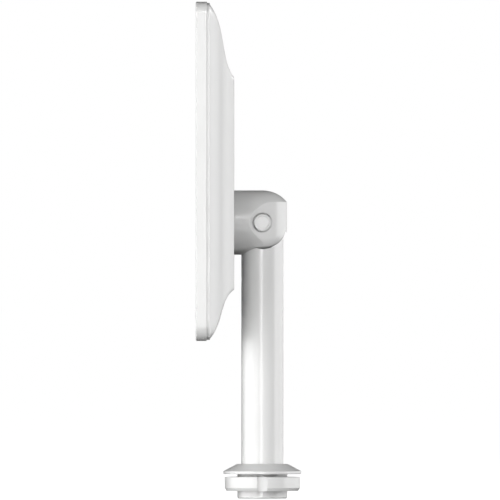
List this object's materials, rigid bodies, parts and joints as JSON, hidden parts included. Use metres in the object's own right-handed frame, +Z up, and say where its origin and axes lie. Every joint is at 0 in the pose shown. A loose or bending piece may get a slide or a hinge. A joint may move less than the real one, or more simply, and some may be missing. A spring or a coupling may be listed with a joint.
{
  "type": "customer pole display",
  "caption": "Flat customer display on a tilting hinge and a swivelling counter pole with a through-counter shank and ring nut.",
  "frame": {"origin": "on the pole's axis, in the plane of the base flange's underside, which lies on the counter", "axes": "+Z up along the pole, the screen faces -Y, +X along the screen's width"},
  "size_m": [0.377, 0.0735, 0.3457],
  "materials": {
    "head_white": "fine satin",
    "hood_white": "satin powder coat",
    "pole_white": "satin powder coat",
    "base_white": "satin powder coat",
    "cap_white": "satin",
    "front_glass": "polished, dark screen",
    "adhesive_foam": "matt",
    "lcd_black": "gloss",
    "optical_film": "matt white film",
    "acrylic": "clear acrylic",
    "led_board": "white board with yellow dies",
    "sheet_steel": "zinc plated sheet",
    "screw_steel": "plated",
    "spring_steel": "tempered",
    "circuit_green": "solder mask",
    "chip_black": "matt",
    "socket_ivory": "gloss",
    "heatsink_alu": "black anodised would also do; plain here",
    "ribbon_amber": "polyimide",
    "brass_parts": "turned",
    "grommet_black": "matt",
    "gasket_grey": "matt",
    "friction_fibre": "friction lining",
    "acetal": "natural acetal",
    "turned_alu": "turned",
    "cast_zinc": "zinc casting, satin"
  },
  "bodies": {
    "base": {"base_flange": "base_white", "stop_pin": "screw_steel", "swivel_bush": "acetal", "flange_gasket": "gasket_grey"},
    "pole": {"pole_tube": "pole_white", "knuckle": "cast_zinc", "ear_spacer": "turned_alu", "knuckle_screws": "screw_steel", "throat_grommet": "grommet_black", "pole_foot": "turned_alu", "thrust_washer": "acetal", "wave_spring": "spring_steel", "retaining_ring": "spring_steel"},
    "nut_washer": {"nut_washer": "acetal"},
    "lock_nut": {"lock_nut": "base_white"},
    "head": {"front_bezel": "head_white", "rear_cover": "head_white", "hinge_hood": "hood_white", "pivot_cap_left": "cap_white", "pivot_cap_right": "cap_white", "cover_glass": "front_glass", "glass_tape": "adhesive_foam", "lcd_frame": "sheet_steel", "lcd_cell": "lcd_black", "diffuser_sheets": "optical_film", "light_guide": "acrylic", "led_strip": "led_board", "lcd_tray": "sheet_steel", "chassis_plate": "sheet_steel", "chassis_screws": "screw_steel", "board_standoffs": "brass_parts", "board_screws": "screw_steel", "display_board": "circuit_green", "touch_board": "circuit_green", "scaler_heatsink": "heatsink_alu", "board_sockets": "socket_ivory", "chip_set": "chip_black", "panel_ribbon": "ribbon_amber", "mount_plate": "sheet_steel", "mount_posts": "brass_parts", "mount_screws": "screw_steel", "cover_screws": "screw_steel", "cover_grommet": "grommet_black", "friction_washers": "friction_fibre", "pivot_bolt": "screw_steel", "spring_washers": "spring_steel", "pivot_nut": "screw_steel"}
  },
  "joints": [
    {"name": "pole_swivel", "type": "hinge", "parent": "base", "child": "pole", "pos_m": [0, 0, 0], "axis": [0, 0, 1], "range_deg": [-160, 160]},
    {"name": "head_tilt", "type": "hinge", "parent": "pole", "child": "head", "pos_m": [0, 0, 0.176], "axis": [-1, 0, 0], "range_deg": [0, 45]},
    {"name": "nut_travel", "type": "slide", "parent": "base", "child": "nut_washer", "axis": [0, 0, 1], "range_m": [-0.0054, 0.002]},
    {"name": "nut_turn", "type": "hinge", "parent": "nut_washer", "child": "lock_nut", "pos_m": [0, 0, 0], "axis": [0, 0, 1], "range_deg": [-1295, 479]}
  ],
  "couplings": [
    {"joint": "nut_travel", "follows": "nut_turn", "m_per_rad": 0.00023873}
  ]
}
